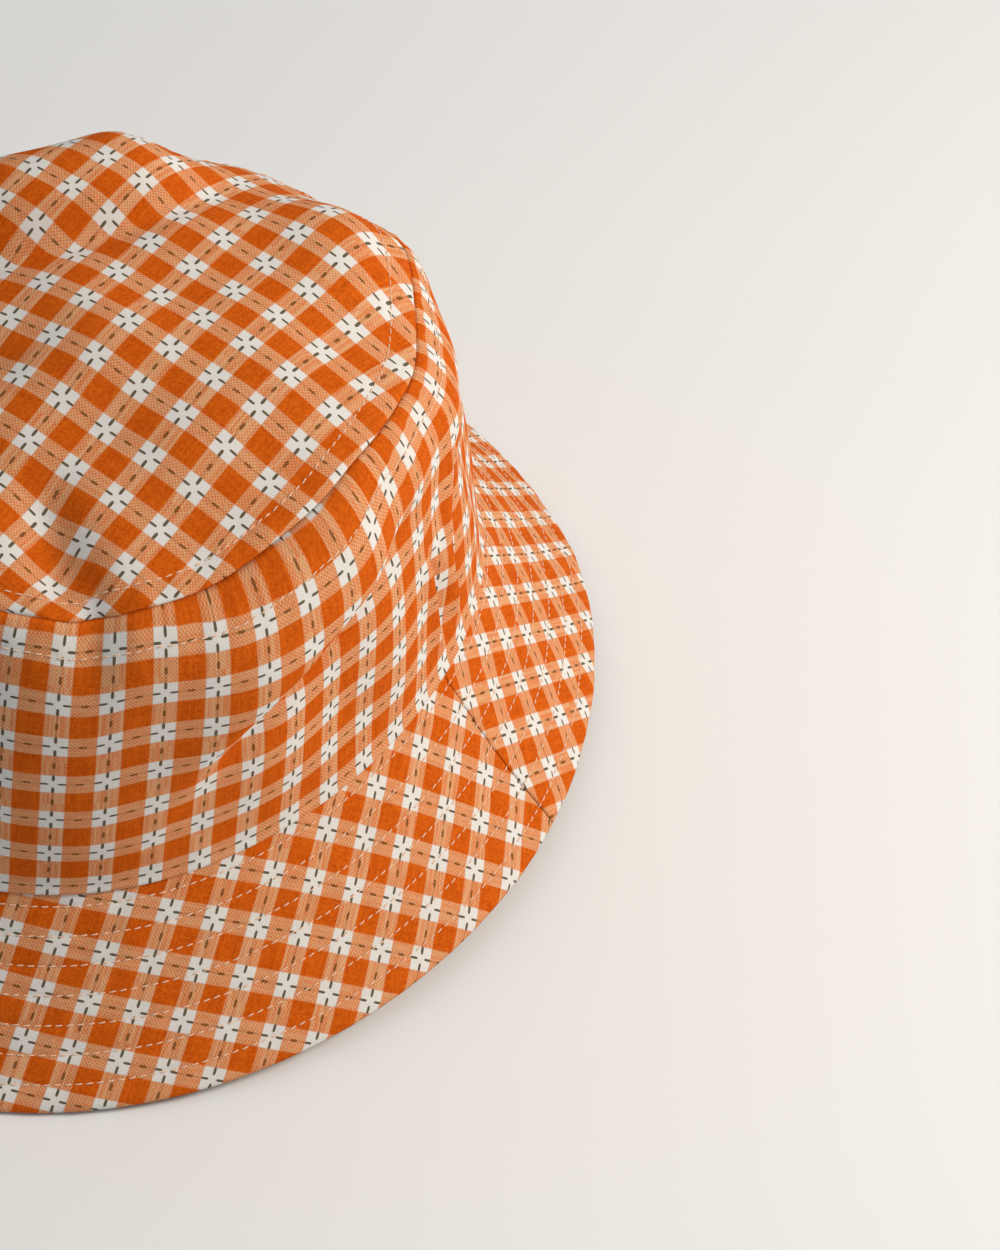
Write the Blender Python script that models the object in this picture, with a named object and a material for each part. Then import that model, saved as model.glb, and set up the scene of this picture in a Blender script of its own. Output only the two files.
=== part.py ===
"""Bucket hat, sewn from cut cloth: crown top, side band, two-layer stitched brim, lining, sweatband.

Frame: metres, +Z up, the wearer's forehead at -Y and the wearer's left at +X. The origin lies on the
table that the brim stands on, under the middle of the head opening. Every place on the hat is given by
an azimuth round the head, 0 at the front and growing towards +X, and by a distance across the cloth.
"""

import math

import bmesh
import bpy
from mathutils import Vector

# Head opening: the oval seam between side band and brim, higher over the ears than front and back.
HEAD_HALF_WIDTH = 0.083
HEAD_HALF_LENGTH = 0.098
HEAD_SEAM_HEIGHT = 0.0414
HEAD_SEAM_WAVE = 0.0054

# Crown seam: the smaller oval where the side band meets the crown top. The soft crown slumps a
# little forwards, and its top rises in a dome to a flat middle.
CROWN_HALF_WIDTH = 0.063
CROWN_HALF_LENGTH = 0.0796
CROWN_SEAM_HEIGHT = 0.1132
CROWN_SEAM_WAVE = 0.0047
CROWN_LEAN = 0.0042
CROWN_DOME = 0.021
CROWN_DOME_POWER = 1.6
CROWN_FLAT_SHARE = 0.2
CROWN_BEND_SHARES = (0.88, 0.7, 0.45, CROWN_FLAT_SHARE)
BAND_BULGE = 0.002
BAND_KNEE_SHARE = 0.4

# Brim: its width along the slope, and how far its edge lifts off the table over the ears. The edge
# lies flat on the table within BRIM_FOOT_REACH degrees of the front and of the back.
BRIM_WIDTH = 0.0508
BRIM_EDGE_LIFT = 0.0079
BRIM_EDGE_POWER = 1.25
BRIM_FOOT_REACH = 22.0
BRIM_FOOT = 0.0012
BRIM_FLARE = 0.0015
BRIM_HEM = 0.004
BRIM_TURN_UP = 0.0025

# Cloth. Neighbouring layers keep LAYER_GAP between them, and the lining's band nests LINING_NEST
# deeper than its crown piece.
CLOTH = 0.0006
LAYER_GAP = 0.0003
SEAM_ALLOWANCE = 0.008
LINING_CLOTH = 0.0005
LINING_NEST = 0.0001
SWEATBAND_HEIGHT = 0.030
SWEATBAND_CLOTH = 0.0008

# Stitching: seven rows round the brim, one row each side of the crown seam.
THREAD = 0.0005
BRIM_ROWS = 7
BRIM_FIRST_ROW = 0.0036
BRIM_ROW_SPACING = 0.0068
CROWN_ROW_OFFSET = 0.006
SWEATBAND_ROW_OFFSET = 0.003

# Care label, sewn by its upper edge to the lining at the back, LABEL_STANDOFF clear of it.
LABEL_WIDTH = 0.022
LABEL_LENGTH = 0.030
LABEL_CLOTH = 0.0005
LABEL_DROP = 0.050
LABEL_CLEARANCE = 0.0008
LABEL_STANDOFF = 0.0023
LABEL_STITCH_INSET = 0.001

ROUND_STEPS = 48
SEAM_GAP_DEG = 0.15
SHARP_EDGE_DEG = 35.0

# How deep under the outer face of the cloth each layer begins.
LINING_TOP_DEPTH = 2 * CLOTH + LAYER_GAP
LINING_DEPTH = LINING_TOP_DEPTH + LINING_NEST
SWEATBAND_DEPTH = LINING_DEPTH + LINING_CLOTH + LAYER_GAP
INTERLINING_DEPTH = CLOTH + LAYER_GAP
UNDER_BRIM_DEPTH = INTERLINING_DEPTH + CLOTH + LAYER_GAP
BRIM_THICKNESS = UNDER_BRIM_DEPTH + CLOTH

# The places across the brim at which its layers bend: the head seam, half way, and the hem.
BRIM_KNEE = BRIM_WIDTH - BRIM_HEM
BRIM_BENDS = (0.0, BRIM_KNEE / 2, BRIM_KNEE)

PALETTE = {
    "check_cloth": ((0.80, 0.33, 0.13), 0.85),
    "interlining": ((0.86, 0.85, 0.80), 0.90),
    "lining_cloth": ((0.87, 0.82, 0.72), 0.85),
    "sweatband_twill": ((0.84, 0.78, 0.66), 0.80),
    "thread": ((0.95, 0.72, 0.58), 0.60),
    "label_cloth": ((0.92, 0.91, 0.88), 0.70),
}


def clear_scene():
    for item in list(bpy.data.objects):
        bpy.data.objects.remove(item)


def material(slot):
    """The Principled material of one kind of cloth or thread."""
    made = bpy.data.materials.get(slot)
    if made is None:
        colour, roughness = PALETTE[slot]
        made = bpy.data.materials.new(slot)
        made.use_nodes = True
        surface = made.node_tree.nodes["Principled BSDF"]
        surface.inputs["Base Color"].default_value = (*colour, 1.0)
        surface.inputs["Roughness"].default_value = roughness
        surface.inputs["Metallic"].default_value = 0.0
    return made


def outward(azimuth):
    """The level unit vector that points away from the head at an azimuth."""
    return Vector((math.sin(azimuth), -math.cos(azimuth), 0.0))


def oval_radius(half_width, half_length, azimuth):
    across = half_length * math.sin(azimuth)
    along = half_width * math.cos(azimuth)
    return half_width * half_length / math.hypot(across, along)


def head_seam(azimuth):
    """A point of the seam between side band and brim, on the outer face of the cloth."""
    point = outward(azimuth) * oval_radius(HEAD_HALF_WIDTH, HEAD_HALF_LENGTH, azimuth)
    point.z = HEAD_SEAM_HEIGHT - HEAD_SEAM_WAVE * math.cos(2 * azimuth)
    return point


def crown_seam(azimuth):
    """A point of the seam between side band and crown top, on the outer face of the cloth."""
    point = outward(azimuth) * oval_radius(CROWN_HALF_WIDTH, CROWN_HALF_LENGTH, azimuth)
    point.y -= CROWN_LEAN
    point.z = CROWN_SEAM_HEIGHT - CROWN_SEAM_WAVE * math.cos(2 * azimuth)
    return point


def band_reach(azimuth):
    """The straight distance from the head seam up to the crown seam."""
    return (crown_seam(azimuth) - head_seam(azimuth)).length


def band_point(azimuth, height, depth):
    """A point in the side band, height metres up the cloth from the head seam and depth metres in.

    The band stands out a little at its knee, a share of the way up.
    """
    share = height / band_reach(azimuth)
    bulge = BAND_BULGE * min(share / BAND_KNEE_SHARE, (1.0 - share) / (1.0 - BAND_KNEE_SHARE))
    return head_seam(azimuth).lerp(crown_seam(azimuth), share) + outward(azimuth) * (bulge - depth)


def band_height(azimuth):
    """The height of the side band along its cloth, up to the under face of the crown top."""
    return band_reach(azimuth) - CLOTH - LAYER_GAP


def crown_centre():
    return Vector((0.0, -CROWN_LEAN, CROWN_SEAM_HEIGHT + CROWN_DOME))


def crown_reach(azimuth):
    """The distance from the crown seam to the middle of the crown top."""
    return (crown_seam(azimuth) - crown_centre()).length


def crown_top_point(azimuth, margin, depth):
    """A point of the crown top, margin metres in from the crown seam and depth metres down.

    The middle of the top is flat, and from there the top falls in a curve to its seam.
    """
    rim, centre = crown_seam(azimuth), crown_centre()
    share = 1.0 - margin / crown_reach(azimuth)
    point = centre.lerp(rim, share)
    fall = max(0.0, share - CROWN_FLAT_SHARE) / (1.0 - CROWN_FLAT_SHARE)
    point.z = centre.z + (rim.z - centre.z) * fall**CROWN_DOME_POWER - depth
    return point


def crown_bends(azimuth):
    """The margins at which the crown top bends, from its rim to its middle."""
    return [crown_reach(azimuth) * (1.0 - share) for share in CROWN_BEND_SHARES + (0.0,)]


def edge_height(azimuth):
    """The height of the brim's foot over the table."""
    flat = math.sin(math.radians(BRIM_FOOT_REACH)) ** 2
    rise = max(0.0, (math.sin(azimuth) ** 2 - flat) / (1.0 - flat))
    return BRIM_EDGE_LIFT * rise**BRIM_EDGE_POWER


def brim_slope(azimuth):
    """The angle under the horizontal at which the brim falls, so that its foot is at edge_height."""
    drop = head_seam(azimuth).z - edge_height(azimuth)
    reach = BRIM_WIDTH - BRIM_FOOT
    return math.asin(drop / math.hypot(reach, BRIM_THICKNESS)) - math.atan2(BRIM_THICKNESS, reach)


def brim_point(azimuth, reach, depth):
    """A point of the brim, reach metres down the slope from the head seam and depth metres in.

    Between the head seam and the hem the brim hangs a little hollow.
    """
    slope = brim_slope(azimuth)
    hollow = BRIM_FLARE * max(0.0, 1.0 - abs(2 * reach / BRIM_KNEE - 1.0))
    down = outward(azimuth) * math.cos(slope) - Vector((0.0, 0.0, math.sin(slope)))
    inside = -outward(azimuth) * math.sin(slope) - Vector((0.0, 0.0, math.cos(slope)))
    return head_seam(azimuth) + down * reach + inside * (depth + hollow)


def full_turn():
    return [2 * math.pi * step / ROUND_STEPS for step in range(ROUND_STEPS)]


def seamed_turn(first_deg, share=1.0):
    """Azimuths of a strip that covers a share of the turn and stops just short of its end seams."""
    steps = round(ROUND_STEPS * share)
    turn = [math.radians(first_deg + 360.0 * share * step / steps) for step in range(steps + 1)]
    turn[0] += math.radians(SEAM_GAP_DEG)
    turn[-1] -= math.radians(SEAM_GAP_DEG)
    return turn


def add_mesh(name, build, slot):
    """Turns the finished bmesh into the named object."""
    bmesh.ops.recalc_face_normals(build, faces=build.faces)
    mesh = bpy.data.meshes.new(name)
    build.to_mesh(mesh)
    build.free()
    mesh.shade_smooth()
    mesh.set_sharp_from_angle(angle=math.radians(SHARP_EDGE_DEG))
    mesh.materials.append(material(slot))
    made = bpy.data.objects.new(name, mesh)
    bpy.context.scene.collection.objects.link(made)
    return made


def add_quad(build, a, b, c, d):
    """Two triangles that fold along the deeper diagonal, so that layers fold alike and stay apart."""
    if (a.co + c.co).length < (b.co + d.co).length:
        build.faces.new((a, b, c))
        build.faces.new((a, c, d))
    else:
        build.faces.new((b, c, d))
        build.faces.new((b, d, a))


def join_loops(build, loops):
    """Faces between closed cross-sections that follow one another."""
    for here, there in zip(loops, loops[1:]):
        for k in range(len(here)):
            add_quad(build, here[k - 1], here[k], there[k], there[k - 1])


def ring_piece(name, sections, slot):
    """A solid whose closed cross-sections run right round the hat."""
    build = bmesh.new()
    loops = [[build.verts.new(point) for point in section] for section in sections]
    join_loops(build, loops + loops[:1])
    return add_mesh(name, build, slot)


def strip_piece(name, sections, slot):
    """A solid whose closed cross-sections run from one end of a strip to the other."""
    build = bmesh.new()
    loops = [[build.verts.new(point) for point in section] for section in sections]
    join_loops(build, loops)
    build.faces.new(loops[0])
    build.faces.new(list(reversed(loops[-1])))
    return add_mesh(name, build, slot)


def disc_piece(name, sections, slot):
    """A solid through open profiles that all run from one pole to the other."""
    build = bmesh.new()
    start = build.verts.new(sections[0][0])
    end = build.verts.new(sections[0][-1])
    loops = [[build.verts.new(point) for point in section[1:-1]] for section in sections]
    for here, there in zip(loops, loops[1:] + loops[:1]):
        build.faces.new((start, here[0], there[0]))
        for k in range(len(here) - 1):
            add_quad(build, here[k], here[k + 1], there[k + 1], there[k])
        build.faces.new((end, there[-1], here[-1]))
    return add_mesh(name, build, slot)


def crown_top():
    """The oval crown top, doubled under its rim by the turned-in seam allowance."""
    sections = []
    for azimuth in full_turn():
        bends = crown_bends(azimuth)
        upper = [(bend, 0.0) for bend in reversed(bends)] + [(0.0, 0.0)]
        under = [
            (0.0, CLOTH),
            (LINING_DEPTH, CLOTH),
            (LINING_DEPTH, 2 * CLOTH),
            (SEAM_ALLOWANCE, 2 * CLOTH),
            (SEAM_ALLOWANCE, CLOTH),
        ]
        under += [(bend, CLOTH) for bend in bends]
        sections.append([crown_top_point(azimuth, *place) for place in upper + under])
    return disc_piece("crown_top", sections, "check_cloth")


def crown_band():
    """The side band, one strip round the head that meets itself at the back.

    Both its edges are doubled by their turned-in seam allowances.
    """
    sections = []
    for azimuth in seamed_turn(180.0):
        low, high, knee = LAYER_GAP, band_height(azimuth), BAND_KNEE_SHARE * band_reach(azimuth)
        outer = [(low, 0.0), (knee, 0.0), (high, 0.0)]
        top_hem = [(high, 2 * CLOTH), (high - SEAM_ALLOWANCE, 2 * CLOTH), (high - SEAM_ALLOWANCE, CLOTH)]
        low_hem = [(SEAM_ALLOWANCE, CLOTH), (SEAM_ALLOWANCE, 2 * CLOTH), (low, 2 * CLOTH)]
        places = outer + top_hem + [(knee, CLOTH)] + low_hem
        sections.append([band_point(azimuth, *place) for place in places])
    return strip_piece("crown_band", sections, "check_cloth")


def layer_profile(bends, top, low):
    """The outline of a plain layer of cloth: along its upper face and back along its lower one."""
    return [(bend, top) for bend in bends] + [(bend, low) for bend in reversed(bends)]


def under_brim_profile(azimuth):
    """The under layer turns up at the brim's edge to meet the upper one, and stands on a flat foot."""
    turn_up = BRIM_WIDTH - BRIM_TURN_UP
    foot_side = BRIM_THICKNESS - BRIM_FOOT * math.tan(brim_slope(azimuth))
    edge = [
        (turn_up, UNDER_BRIM_DEPTH),
        (turn_up, INTERLINING_DEPTH),
        (BRIM_WIDTH, INTERLINING_DEPTH),
        (BRIM_WIDTH, foot_side),
        (BRIM_WIDTH - BRIM_FOOT, BRIM_THICKNESS),
    ]
    upper = [(bend, UNDER_BRIM_DEPTH) for bend in BRIM_BENDS]
    lower = [(bend, BRIM_THICKNESS) for bend in reversed(BRIM_BENDS)]
    return upper + edge + lower


def brim_half(half, first_deg):
    """The three layers of one half of the brim, from side seam to side seam."""
    turn = seamed_turn(first_deg, share=0.5)
    top_profile = layer_profile(BRIM_BENDS + (BRIM_WIDTH,), 0.0, CLOTH)
    core_profile = layer_profile(BRIM_BENDS, INTERLINING_DEPTH, INTERLINING_DEPTH + CLOTH)
    upper = [[brim_point(azimuth, *place) for place in top_profile] for azimuth in turn]
    core = [[brim_point(azimuth, *place) for place in core_profile] for azimuth in turn]
    under = [[brim_point(azimuth, *place) for place in under_brim_profile(azimuth)] for azimuth in turn]
    strip_piece(f"brim_top_{half}", upper, "check_cloth")
    strip_piece(f"brim_interlining_{half}", core, "interlining")
    strip_piece(f"brim_under_{half}", under, "check_cloth")


def lining_top():
    """The lining's crown piece, under the crown top."""
    sections = []
    for azimuth in full_turn():
        bends = list(reversed(crown_bends(azimuth))) + [LINING_DEPTH]
        places = layer_profile(bends, LINING_TOP_DEPTH, LINING_TOP_DEPTH + LINING_CLOTH)
        sections.append([crown_top_point(azimuth, *place) for place in places])
    return disc_piece("lining_top", sections, "lining_cloth")


def lining_band():
    """The lining's side band, inside the checked one and seamed at the back like it."""
    sections = []
    for azimuth in seamed_turn(180.0):
        top = band_height(azimuth) - LINING_DEPTH - LINING_CLOTH - LAYER_GAP
        bends = (LAYER_GAP, BAND_KNEE_SHARE * band_reach(azimuth), top)
        places = layer_profile(bends, LINING_DEPTH, LINING_DEPTH + LINING_CLOTH)
        sections.append([band_point(azimuth, *place) for place in places])
    return strip_piece("lining_band", sections, "lining_cloth")


def sweatband():
    """The twill band inside the head opening, level with the head seam along its lower edge."""
    places = layer_profile((0.0, SWEATBAND_HEIGHT), SWEATBAND_DEPTH, SWEATBAND_DEPTH + SWEATBAND_CLOTH)
    sections = [[band_point(azimuth, *place) for place in places] for azimuth in seamed_turn(180.0)]
    return strip_piece("sweatband", sections, "sweatband_twill")


def band_point_from_top(azimuth, margin, depth):
    return band_point(azimuth, band_height(azimuth) - margin, depth)


def thread_ring(name, surface, across, face):
    """A row of stitching as one thin three-sided thread right round the hat, just clear of the cloth.

    surface is the function of the cloth it lies on, and across its place on that cloth. face is the
    depth of the face it lies on: 0 outside, where it lies over the cloth, or more inside, under it.
    """
    side = -1.0 if face == 0.0 else 1.0
    near, far = face + side * LAYER_GAP, face + side * (LAYER_GAP + THREAD)
    corners = [(across - THREAD / 2, near), (across + THREAD / 2, near), (across, far)]
    sections = [[surface(azimuth, *corner) for corner in corners] for azimuth in full_turn()]
    return ring_piece(name, sections, "thread")


def stitching():
    """Every row of topstitching: brim, both sides of the crown seam, and the sweatband."""
    for row in range(BRIM_ROWS):
        thread_ring(f"brim_stitch_{row + 1}", brim_point, BRIM_FIRST_ROW + row * BRIM_ROW_SPACING, 0.0)
    thread_ring("crown_top_stitch", crown_top_point, CROWN_ROW_OFFSET, 0.0)
    thread_ring("crown_band_stitch", band_point_from_top, CROWN_ROW_OFFSET, 0.0)
    thread_ring("sweatband_stitch", band_point, SWEATBAND_ROW_OFFSET, SWEATBAND_DEPTH + SWEATBAND_CLOTH)


def label_pivot():
    """The middle of the care label's sewn edge, just inside the lining at the back."""
    return band_point(math.pi, LABEL_DROP, LINING_DEPTH + LINING_CLOTH + LABEL_STANDOFF)


def box_piece(name, centre, size, slot):
    build = bmesh.new()
    bmesh.ops.create_cube(build, size=1.0)
    bmesh.ops.scale(build, vec=size, verts=build.verts)
    made = add_mesh(name, build, slot)
    made.location = centre
    return made


def care_label():
    """The label hangs plumb from its sewn edge, which is its hinge; its origin is on that edge."""
    hinge = bpy.data.objects.new("label_hinge", None)
    bpy.context.scene.collection.objects.link(hinge)
    hinge.location = label_pivot()
    hang = Vector((0.0, 0.0, -LABEL_LENGTH / 2 - LABEL_CLEARANCE))
    label = box_piece("care_label", hang, (LABEL_WIDTH, LABEL_CLOTH, LABEL_LENGTH), "label_cloth")
    label.parent = hinge
    tack = Vector((0.0, LABEL_CLOTH, LABEL_CLEARANCE))
    tack_size = (LABEL_WIDTH - 2 * LABEL_STITCH_INSET, THREAD, THREAD)
    box_piece("care_label_stitch", hinge.location + tack, tack_size, "thread")


def build_hat():
    clear_scene()
    crown_top()
    crown_band()
    brim_half("front", -90.0)
    brim_half("back", 90.0)
    lining_top()
    lining_band()
    sweatband()
    stitching()
    care_label()


build_hat()
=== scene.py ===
"""Looks of a soft gingham bucket hat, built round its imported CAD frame.

Every cloth panel is one curved sheet, given by a formula in its own cloth coordinates, so that the
check follows each panel's grain. Metres throughout; the forehead is at -Y, the wearer's left at +X.
q is the azimuth round the head, 0 at the front, in radians.
"""

import math

import bpy
import numpy as np
from mathutils import Matrix, Vector


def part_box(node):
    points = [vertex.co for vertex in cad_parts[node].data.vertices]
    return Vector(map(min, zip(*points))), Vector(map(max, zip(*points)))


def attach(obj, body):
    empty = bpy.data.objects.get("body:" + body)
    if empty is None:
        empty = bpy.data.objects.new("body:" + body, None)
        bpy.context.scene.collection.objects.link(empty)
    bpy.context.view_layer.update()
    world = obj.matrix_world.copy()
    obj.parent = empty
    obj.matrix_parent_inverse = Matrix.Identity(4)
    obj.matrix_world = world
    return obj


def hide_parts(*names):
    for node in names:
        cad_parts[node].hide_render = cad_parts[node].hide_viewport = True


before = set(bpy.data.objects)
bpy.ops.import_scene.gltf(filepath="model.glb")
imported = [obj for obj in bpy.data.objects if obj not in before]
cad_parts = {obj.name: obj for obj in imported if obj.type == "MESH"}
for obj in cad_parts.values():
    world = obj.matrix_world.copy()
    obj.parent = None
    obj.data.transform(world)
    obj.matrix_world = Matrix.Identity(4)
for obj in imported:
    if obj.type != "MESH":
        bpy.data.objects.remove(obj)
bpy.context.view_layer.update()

MM = 0.001
UP = np.array([0.0, 0.0, 1.0])


def in_mm(*points):
    """Points given in millimetres, as an array in metres."""
    return np.array(points, dtype=float) * MM


# Where the CAD pieces are.
BAND_LOW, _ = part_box("crown_band")
TOP_LOW, TOP_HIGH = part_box("crown_top")
LABEL_LOW, LABEL_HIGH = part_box("care_label")
LABEL_STITCH_LOW, LABEL_STITCH_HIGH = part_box("care_label_stitch")

# The two seams. Both are ovals that dip at the front and back and rise at the sides.
HEAD_HALF_WIDTH = 83.0 * MM
HEAD_HALF_LENGTH = 98.0 * MM
HEAD_SEAM_WAVE = 5.4 * MM
HEAD_SEAM_HEIGHT = BAND_LOW[2] + HEAD_SEAM_WAVE
CROWN_HALF_WIDTH = (TOP_HIGH[0] - TOP_LOW[0]) / 2
CROWN_HALF_LENGTH = (TOP_HIGH[1] - TOP_LOW[1]) / 2
CROWN_MIDDLE_Y = (TOP_HIGH[1] + TOP_LOW[1]) / 2
CROWN_SEAM_HEIGHT = 113.2 * MM
CROWN_SEAM_WAVE = 4.7 * MM
CROWN_PEAK = 131.0 * MM
BAND_HEIGHT = 75.4 * MM

# Brim: cut as two half rings, each a flat sector whose inner edge has this radius.
BRIM_WIDTH = 50.8 * MM
BRIM_SECTOR_RADIUS = 135.5 * MM
BRIM_SLOPE_DEG = 47.55
BRIM_SLOPE_WAVE_DEG = 2.41
BRIM_SAG = 1.2 * MM
BRIM_EDGE_RAISE = 0.75 * MM
BRIM_EDGE_TURN = 0.9 * MM

# Cloth and check.
CLOTH = 0.6 * MM
LINING_CLOTH = 0.5 * MM
SWEATBAND_CLOTH = 0.8 * MM
LABEL_CLOTH = 0.35 * MM
CHECK = 11.43 * MM
CROWN_EASE = 1.035
BAND_CLOSING_UP = 0.135 / (6.2 * CHECK)
BAND_CHECK_START = 0.3
CROWN_CHECK_START = np.array([0.08, -0.29])
BRIM_CHECK_START = np.array([0.5, -0.04])
CROWN_GRAIN = math.radians(-10.0)
YARNS_PER_CHECK = 25

# Depth of each layer under the outer face.
LINING_DEPTH = 1.6 * MM
LINING_START = 0.5 * MM
LINING_HEIGHT = BAND_HEIGHT - 2.2 * MM
LINING_TOP_DEPTH = 2.6 * MM
LINING_OVERLAP = 0.4 * MM
LINING_TURN_SHARE = 0.92
LINING_RIM_SHARE = 0.985
SWEATBAND_DEPTH = 2.4 * MM
SWEATBAND_HEIGHT = 30.0 * MM
INTERLINING_DEPTH = 0.9 * MM
UNDER_BRIM_DEPTH = 1.8 * MM

# The crown seam is turned in, and follows the folds of the crown top by a share.
SEAM_TUCK = 0.7 * MM
SEAM_TUCK_REACH = 0.8 * MM
SEAM_FOLD_SHARE = 0.6
SEAM_HOLD_REACH = 14.0 * MM

# Half the slit left where a strip's ends meet at its seam.
BAND_SEAM_GAP = math.radians(0.1)
BRIM_SEAM_GAP = math.radians(0.12)

# Stitching.
STITCH_PITCH = 2.4 * MM
STITCH_LENGTH = 1.9 * MM
STITCH_SLANT = 0.10
STITCH_RINGS = 7
STITCH_SIDES = 6
THREAD_RADIUS = 0.18 * MM
BRIM_ROWS = [3.6 * MM + 6.8 * MM * row for row in range(7)]
CROWN_ROW_OFFSET = 6.0 * MM
SWEATBAND_ROW_HEIGHT = 3.0 * MM
ROW_DIP_WIDTH = 0.8 * MM
BRIM_ROW_DIP_WIDTH = 0.9 * MM

# Steps for finding tangents and normals: a turn in radians or a length, and a length or a share.
STEP_A = 1e-4
STEP_B = 1e-5


# ---------------------------------------------------------------- shape of the standing hat


def outward(q):
    """Level unit vector away from the middle of the head."""
    return np.stack([np.sin(q), -np.cos(q), np.zeros_like(q)], axis=-1)


def oval(half_width, half_length, q):
    """Radius of an oval at azimuth q."""
    return half_width * half_length / np.hypot(half_length * np.sin(q), half_width * np.cos(q))


def head_seam(q):
    """Point of the seam between side band and brim."""
    point = outward(q) * oval(HEAD_HALF_WIDTH, HEAD_HALF_LENGTH, q)[..., None]
    point[..., 2] = HEAD_SEAM_HEIGHT - HEAD_SEAM_WAVE * np.cos(2 * q)
    return point


def crown_seam(q):
    """Point of the seam between crown top and side band, before the folds carry it."""
    point = outward(q) * oval(CROWN_HALF_WIDTH, CROWN_HALF_LENGTH, q)[..., None]
    point[..., 1] += CROWN_MIDDLE_Y
    point[..., 2] = CROWN_SEAM_HEIGHT - CROWN_SEAM_WAVE * np.cos(2 * q)
    return point


def head_arc_table():
    """Azimuths and the lengths along the head seam from the front to each of them."""
    q = np.linspace(-math.pi, math.pi, 2001)
    steps = np.linalg.norm(np.diff(head_seam(q), axis=0), axis=1)
    arc = np.concatenate([[0.0], np.cumsum(steps)])
    return q, arc - arc[1000]


ARC_Q, ARC_LENGTH = head_arc_table()
HEAD_ROUND = ARC_LENGTH[-1] - ARC_LENGTH[0]


def head_arc(q):
    """Length along the head seam from the front, for q from -pi to pi and a turn beyond."""
    turns = np.floor((q + math.pi) / (2 * math.pi))
    return np.interp(q - turns * 2 * math.pi, ARC_Q, ARC_LENGTH) + turns * HEAD_ROUND


def smooth(x):
    """0 below 0, 1 above 1, and an S-curve between."""
    x = np.clip(x, 0.0, 1.0)
    return x * x * (3 - 2 * x)


def ripple(place, wavelength, seed, waves=7):
    """Soft irregular unevenness between about -1 and 1: a few crossing waves of like length."""
    pick = np.random.default_rng(seed)
    total = np.zeros(place.shape[:-1])
    for _ in range(waves):
        heading = pick.normal(size=3)
        heading /= np.linalg.norm(heading)
        length = wavelength * pick.uniform(0.7, 1.4)
        total += np.sin(2 * math.pi * (place @ heading) / length + pick.uniform(0, 2 * math.pi))
    return total / math.sqrt(waves)


def round_place(arc, height):
    """Point of a plain cylinder as big round as the head seam, so that ripples close on themselves."""
    turn = arc / HEAD_ROUND * 2 * math.pi
    radius = HEAD_ROUND / (2 * math.pi)
    return np.stack([radius * np.sin(turn), radius * np.cos(turn), height], axis=-1)


def flat_place(x, y):
    return np.stack([x, y, np.zeros_like(x)], axis=-1)


def beside_path(x, y, path):
    """Distance to a bent line, positive on its left, and the share of the way along it."""
    ends = np.array(path, dtype=float)
    knots = np.linspace(0, 1, len(ends))
    fine = np.linspace(0, 1, 25)
    line = np.stack([np.interp(fine, knots, ends[:, 0]), np.interp(fine, knots, ends[:, 1])], axis=-1)
    for _ in range(6):
        line[1:-1] = (line[:-2] + 2 * line[1:-1] + line[2:]) / 4
    best = np.full(x.shape, np.inf)
    side = np.zeros(x.shape)
    share = np.zeros(x.shape)
    for k in range(len(line) - 1):
        a = line[k]
        along = line[k + 1] - a
        length = np.hypot(*along)
        t = np.clip(((x - a[0]) * along[0] + (y - a[1]) * along[1]) / length**2, 0, 1)
        dx = x - a[0] - t * along[0]
        dy = y - a[1] - t * along[1]
        near = np.hypot(dx, dy)
        closer = near < best
        best = np.where(closer, near, best)
        side = np.where(closer, (along[0] * dy - along[1] * dx) / length, side)
        share = np.where(closer, (k + t) / (len(line) - 1), share)
    return np.where(side < 0, -best, best), share


def bell(x, middle, width):
    """1 at the middle, falling to nothing over about two widths."""
    return np.exp(-(((x - middle) / width) ** 2))


def fade_at_ends(share):
    """1 along most of a path, fading out over the first and last 0.3 of it."""
    return smooth(share / 0.3) * smooth((1 - share) / 0.3)


def crease(x, y, path, valley, valley_width, ridge=0.0, ridge_width=MM):
    """Height of a crease along a path: a valley, and a puffed ridge on the left of it."""
    d, share = beside_path(x, y, path)
    height = -valley * bell(d, 0, valley_width)
    height += ridge * bell(d, ridge_width, ridge_width) * smooth(0.5 + d / ridge_width)
    return height * fade_at_ends(share)


def mound(x, y, at, reach, height):
    """A rounded swelling or, with a negative height, a hollow."""
    return height * bell(x, at[0], reach[0]) * bell(y, at[1], reach[1])


# ---------------------------------------------------------------- folds


# Folds of the side band: places are a length round the head from the front and a height up the cloth.
# It bows out all over, and more in a shoulder under the crown seam, most of all at the front.
BAND_BOW = 2.6 * MM
SHOULDER_TURN = 5.0 * MM
SHOULDER_REACH = 42.0 * MM
SHOULDER_ALL_ROUND = 1.5 * MM
SHOULDER_FRONT = 2.6 * MM
SHOULDER_FRONT_REACH = 80.0 * MM

# The front left corner of the crown, as the wearer has it, is puffed out over a crease, and its
# extra cloth, in checks, lies a little further round.
CORNER_CREASE = in_mm((60, 20), (72, 32), (83, 41), (104, 47), (128, 52), (156, 60))
CORNER_PUFF = 9.0 * MM
CORNER_PUFF_AT = 92.0 * MM
CORNER_PUFF_REACH = 42.0 * MM
CORNER_PUFF_EDGE = 10.0 * MM
CORNER_SLACK = 0.42
CORNER_SLACK_AT = 108.0 * MM
CORNER_SLACK_REACH = 38.0 * MM

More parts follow.
